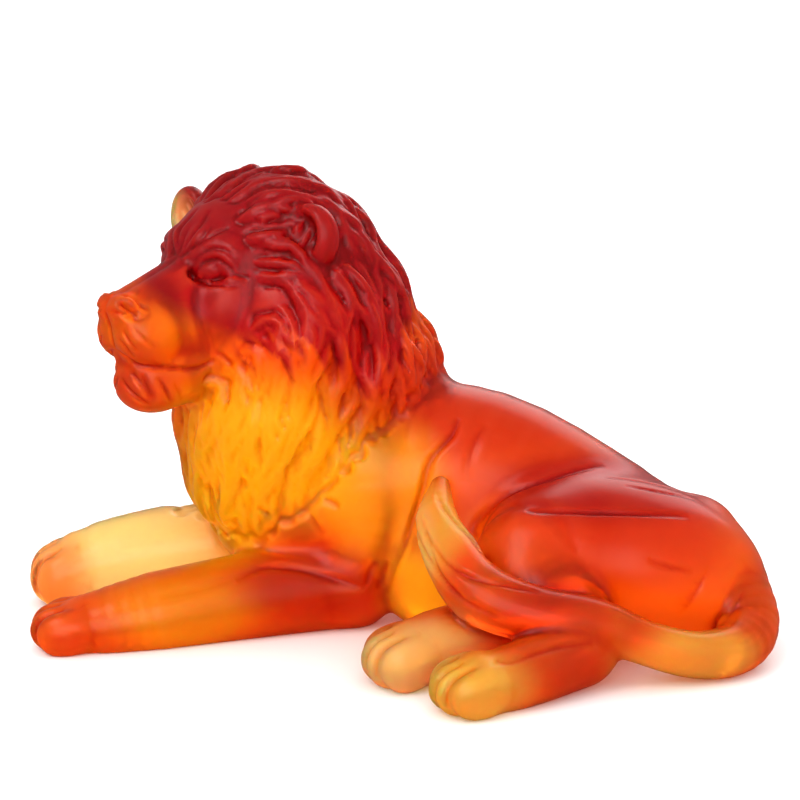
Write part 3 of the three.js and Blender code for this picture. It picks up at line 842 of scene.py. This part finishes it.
# Where each colour of the melt gathers: place, reach and strength
MELT = (
    ("flame", (30, 20, 92), (80, 46, 28), 1.0),
    ("flame", (84, -20, 62), (60, 46, 22), 1.0),
    ("amber", (-52, 6, 78), (46, 40, 34), 1.0),
    ("amber", (-76, 14, 48), (26, 30, 30), 0.9),
    ("amber", (-8, -2, 62), (26, 26, 30), 0.6),
    ("amber", (6, -10, 18), (16, 26, 22), 0.9),
    ("amber", (-88, -18, 14), (34, 22, 16), 0.5),
    ("straw", (-110, 50, 20), (72, 26, 30), 1.0),
    ("orange", (-152, 38, 14), (22, 26, 24), 0.55),
    ("flame", (-36, -4, 20), (38, 16, 14), 0.7),
    ("flame", (-122, -26, 8), (20, 14, 10), 0.35),
    ("straw", (4, -74, 12), (36, 18, 20), 1.0),
    ("honey", (24, -104, 10), (28, 18, 18), 1.0),
    ("honey", (116, -70, 12), (36, 16, 13), 0.9),
    ("honey", (14, -40, 54), (14, 28, 24), 1.0),
    ("straw", (8, -48, 52), (6, 26, 20), 0.7),
    ("flame", (52, -64, 30), (26, 18, 15), 0.9),
    ("flame", (62, -80, 10), (16, 16, 12), 0.6),
    ("flame", (88, -40, 46), (44, 20, 16), 0.7),
    ("ruby", (84, -22, 66), (52, 36, 11), 1.0),
    ("ruby", (100, 10, 62), (46, 40, 12), 0.7),
    ("flame", (-10, 4, 104), (26, 22, 24), 0.7),
    ("flame", (-100, -8, 106), (15, 12, 8), 0.5),
    ("amber", (-100, -4, 128), (18, 16, 11), 0.35),
)
# Above this line, given as height over the distance back from the reference point, the melt is crimson
CRIMSON_EDGE = (
    (-125, 160),
    (-109, 151),
    (-98, 141),
    (-79, 128),
    (-60, 120),
    (-28, 117),
    (-14, 102),
    (-2, 108),
    (8, 138),
    (20, 175),
)
# How far its edge fades, how far it drifts up and down, and in how many waves round the neck
CRIMSON_FADE = 6
CRIMSON_DRIFT = 9
DRIFT_WAVES = (19, 43)
# A painted glow of light through the thin far ear, in the straw colour: place and reach
FAR_EAR_GLOW = ((-96, 60, 160), (9, 12, 13))


def relief(mesh):
    """How far each point stands out of its surroundings, from -1 in a groove to 1 on a ridge."""
    calm = mesh.copy()
    softened(calm, 0.5, 14)
    rise = ((mesh_points(mesh) - mesh_points(calm)) * mesh_points(mesh, "vector")).sum(axis=1)
    bpy.data.meshes.remove(calm)
    return np.clip(rise / MM / 0.5, -1, 1)


def melt_colours_with_painted_shade(points, rise, drift, sizes):
    """The colour of the melt at each point, darkened by painted shade in the grooves and paled by a painted
    highlight on the ridges.

    The crimson runs further down some strands than others, by their drift.
    """
    colours = np.tile(sizes.orange, (len(points), 1))
    for name, place, reach, strength in MELT:
        near = np.linalg.norm((points - place) / np.array(reach, float), axis=1)
        share = np.clip((1.3 - near) / 0.75, 0, 1)[:, None]
        share = strength * share * share * (3 - 2 * share)
        colours += (np.array(getattr(sizes, name)) - colours) * share
    edge = np.interp(points[:, 0], *np.array(CRIMSON_EDGE, float).T)
    share = np.clip((points[:, 2] - edge + CRIMSON_DRIFT * drift) / CRIMSON_FADE / 2 + 0.5, 0, 1)[:, None]
    colours += (np.array(sizes.crimson) - colours) * share * share * (3 - 2 * share)
    # Painted glow: the far ear is paled to straw, as if light shone through its thin crystal
    clear = np.linalg.norm((points - FAR_EAR_GLOW[0]) / np.array(FAR_EAR_GLOW[1], float), axis=1)
    share = np.clip((1.3 - clear) / 0.5, 0, 1)[:, None]
    colours += (np.array(sizes.straw) - colours) * share
    # Painted shade darkens and deepens the colour in the grooves, and a painted highlight pales the ridges
    low = np.maximum(-rise, 0)[:, None]
    high = np.maximum(rise, 0)[:, None]
    return np.maximum(colours, 1e-5) ** (1 + 0.6 * low) * (1 - 0.2 * low) + 0.05 * high * (1, 0.5, 0.3)


def colour_melt(mesh, neck, passed, sizes):
    """Write the melt's colour, with its painted shade, highlight and glow, at each point of a mesh. It drifts
    from strand to strand round the neck.
    """
    points = read_points(mesh)
    turn = turn_round(neck, points)
    waves = sum(np.sin(count * turn) for count in DRIFT_WAVES)
    drift = waves / len(DRIFT_WAVES) * nearness(hair_gap(points, passed), *DRIFT_REACH)
    colours = melt_colours_with_painted_shade(points, relief(mesh), drift, sizes)
    # The melt attribute holds the crystal's colour together with the painted shade in the grooves, the
    # painted highlight on the ridges and the painted glow of the far ear
    melt = mesh.color_attributes.new("melt", "FLOAT_COLOR", "POINT")
    melt.data.foreach_set("color", np.column_stack([colours, np.ones(len(colours))]).ravel())


def crystal(sizes):
    """Satin crystal that takes its colour from the melt and deepens it where it is thick."""
    material = bpy.data.materials.new("satin_crystal")
    material.use_nodes = True
    nodes, links = material.node_tree.nodes, material.node_tree.links
    shader = nodes["Principled BSDF"]
    colours = nodes.new("ShaderNodeAttribute")
    colours.attribute_name = "melt"
    # The melt colour has painted shade in its grooves, a painted highlight on its ridges and a painted glow
    # on the far ear
    links.new(colours.outputs["Color"], shader.inputs["Base Color"])
    shader.inputs["Roughness"].default_value = sizes.satin
    shader.inputs["Specular IOR Level"].default_value = 0.25
    shader.inputs["IOR"].default_value = 1.5
    shader.inputs["Transmission Weight"].default_value = sizes.clearness
    shader.inputs["Subsurface Weight"].default_value = 1.0
    shader.inputs["Subsurface Scale"].default_value = 0.015
    inside = nodes.new("ShaderNodeVolumeAbsorption")
    inside.inputs["Color"].default_value = (1, 0.5, 0.1, 1)
    inside.inputs["Density"].default_value = 10
    links.new(inside.outputs["Volume"], nodes["Material Output"].inputs["Volume"])
    return material


# Studio


def flagged(tree, full, mirrored_share, socket):
    """A level that drops where the crystal mirrors it, as if dark flags stood in front of the lion."""
    path = tree.nodes.new("ShaderNodeLightPath")
    gloss = tree.nodes.new("ShaderNodeMath")
    gloss.operation = "MULTIPLY"
    tree.links.new(path.outputs["Is Reflection Ray"], gloss.inputs[0])
    tree.links.new(path.outputs["Is Glossy Ray"], gloss.inputs[1])
    level = tree.nodes.new("ShaderNodeMath")
    level.operation = "MULTIPLY_ADD"
    tree.links.new(gloss.outputs[0], level.inputs[0])
    level.inputs[1].default_value = -full * (1 - mirrored_share)
    level.inputs[2].default_value = full
    tree.links.new(level.outputs[0], socket)


def white_room():
    """A white room that lights the lion from all sides."""
    world = bpy.data.worlds.new("white")
    world.use_nodes = True
    background = world.node_tree.nodes["Background"]
    background.inputs["Color"].default_value = (1, 1, 1, 1)
    flagged(world.node_tree, *ROOM_LEVEL, background.inputs["Strength"])
    return world


def paper_floor():
    """A pale paper floor that runs out of view on all sides."""
    bm = bmesh.new()
    bmesh.ops.create_grid(bm, x_segments=1, y_segments=1, size=PAPER_SIZE)
    mesh = bpy.data.meshes.new("floor")
    bm.to_mesh(mesh)
    bm.free()
    paper = bpy.data.materials.new("pale_paper")
    paper.use_nodes = True
    shader = paper.node_tree.nodes["Principled BSDF"]
    flagged(paper.node_tree, *PAPER_LEVEL, shader.inputs["Base Color"])
    shader.inputs["Roughness"].default_value = 0.9
    mesh.materials.append(paper)
    floor = bpy.data.objects.new("floor", mesh)
    floor.location.z = -0.0002
    return floor


def softbox(name, place, width, power, highlight):
    """A soft square light that looks at the lion."""
    light = bpy.data.lights.new(name, "AREA")
    light.size = width
    light.energy = power
    lamp = bpy.data.objects.new(name, light)
    lamp.location = place
    lamp.rotation_euler = (Vector(LIT_PLACE) - Vector(place)).to_track_quat("-Z", "Y").to_euler()
    lamp.visible_glossy = highlight
    return lamp


def camera_on_stand():
    """A camera square on to the lion's left side, looking a little down at it."""
    camera = bpy.data.cameras.new("camera")
    camera.lens = LENS
    camera.sensor_width = SENSOR
    eye = bpy.data.objects.new("camera", camera)
    target = Vector((REFERENCE[0], REFERENCE[1], TARGET_HEIGHT)) * MM
    tilt = math.radians(CAMERA_TILT)
    eye.location = target + CAMERA_DISTANCE * Vector((0, -math.cos(tilt), math.sin(tilt)))
    eye.rotation_euler = (math.radians(90) - tilt, 0, 0)
    return eye


# Add-on


def metres(name, description, default):
    """A length that the user may change."""
    return bpy.props.FloatProperty(
        name=name, description=description, default=default, min=0.0002, unit="LENGTH"
    )


def amount(name, description, default):
    """A share from none to all that the user may change."""
    return bpy.props.FloatProperty(
        name=name, description=description, default=default, subtype="FACTOR", min=0, max=1
    )


def tint(name, description, colour):
    """A colour that the user may change."""
    return bpy.props.FloatVectorProperty(
        name=name, description=description, default=colour, subtype="COLOR", min=0, max=1
    )


class LionSizes(bpy.types.PropertyGroup):
    """The strands of the mane, the fineness of the carving, and the crystal's finish and colours"""

    rows: bpy.props.IntProperty(name="Rows", description="Rows of strands down the mane", default=15, min=4)
    strands_round: bpy.props.IntProperty(
        name="Strands round", description="Strands in each row", default=50, min=8
    )
    strand_length: metres("Strand length", "Length of a strand", 0.038)
    strand_width: metres("Strand width", "Width of a strand", 0.0046)
    grain: metres("Grain", "Finest size that the carving holds", 0.0009)
    triangles: bpy.props.IntProperty(
        name="Triangles", description="Most triangles in the carved mesh", default=190000, min=1000
    )
    satin: amount("Satin", "Roughness of the satin surface", 0.28)
    clearness: amount("Clearness", "How much light goes through the crystal", 0.76)
    crimson: tint("Crimson", "Colour of the head and the top of the mane", (0.40, 0.001, 0.012))
    ruby: tint("Ruby", "Colour of the top of the haunch", (0.36, 0.002, 0.002))
    flame: tint("Flame", "Colour of the back and the elbow", (0.56, 0.038, 0.002))
    orange: tint("Orange", "Colour of the melt where nothing else gathers", (0.84, 0.17, 0.003))
    amber: tint("Amber", "Colour of the chest", (1.0, 0.76, 0.008))
    honey: tint("Honey", "Colour of the paws and the tail", (1.0, 0.68, 0.12))
    straw: tint("Straw", "Colour of the far foreleg", (1.0, 0.86, 0.36))


class CastLion(bpy.types.Operator):
    """Carve the lion over its solid and give it its crystal"""

    bl_idname = "crystal_lion.cast"
    bl_label = "Cast lion"

    def execute(self, context):
        sizes = context.scene.lion_sizes
        neck = smooth_line(NECK_LINE, 10)
        carved, passed = carved_mesh(neck, sizes)
        ratio = min(1, sizes.triangles / (2 * len(carved.polygons)))
        fine = through_modifier(carved, "DECIMATE", ratio=ratio)
        fine.name = "lion_carving"
        fine.shade_smooth()
        fine.materials.clear()
        fine.materials.append(crystal(sizes))
        colour_melt(fine, neck, passed, sizes)
        lion = bpy.data.objects.new("crystal_lion", fine)
        context.scene.collection.objects.link(lion)
        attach(lion, "root")
        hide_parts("lion")
        return {"FINISHED"}


class LightStage(bpy.types.Operator):
    """Lay the pale floor, hang the soft lights and set the camera"""

    bl_idname = "crystal_lion.stage"
    bl_label = "Light stage"

    def execute(self, context):
        scene = context.scene
        floor = paper_floor()
        scene.collection.objects.link(floor)
        for light in LIGHTS:
            scene.collection.objects.link(softbox(*light))
        scene.camera = camera_on_stand()
        scene.collection.objects.link(scene.camera)
        scene.world = white_room()
        scene.view_settings.view_transform = "Standard"
        scene.view_settings.exposure = EXPOSURE
        scene.view_settings.gamma = GAMMA
        return {"FINISHED"}


class LionPanel(bpy.types.Panel):
    """The lion's sizes and colours, and a button for each step"""

    bl_label = "Crystal Lion"
    bl_idname = "VIEW3D_PT_crystal_lion"
    bl_space_type = "VIEW_3D"
    bl_region_type = "UI"
    bl_category = "Crystal Lion"

    def draw(self, context):
        for name in LionSizes.__annotations__:
            self.layout.prop(context.scene.lion_sizes, name)
        self.layout.operator(CastLion.bl_idname)
        self.layout.operator(LightStage.bl_idname)


CLASSES = (LionSizes, CastLion, LightStage, LionPanel)


def register():
    """Make the sizes, steps and panel known."""
    for each in CLASSES:
        bpy.utils.register_class(each)
    bpy.types.Scene.lion_sizes = bpy.props.PointerProperty(type=LionSizes)


def unregister():
    """Take them away again."""
    del bpy.types.Scene.lion_sizes
    for each in reversed(CLASSES):
        bpy.utils.unregister_class(each)


def main():
    """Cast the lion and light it."""
    register()
    bpy.ops.crystal_lion.cast()
    bpy.ops.crystal_lion.stage()


if __name__ == "__main__":
    main()
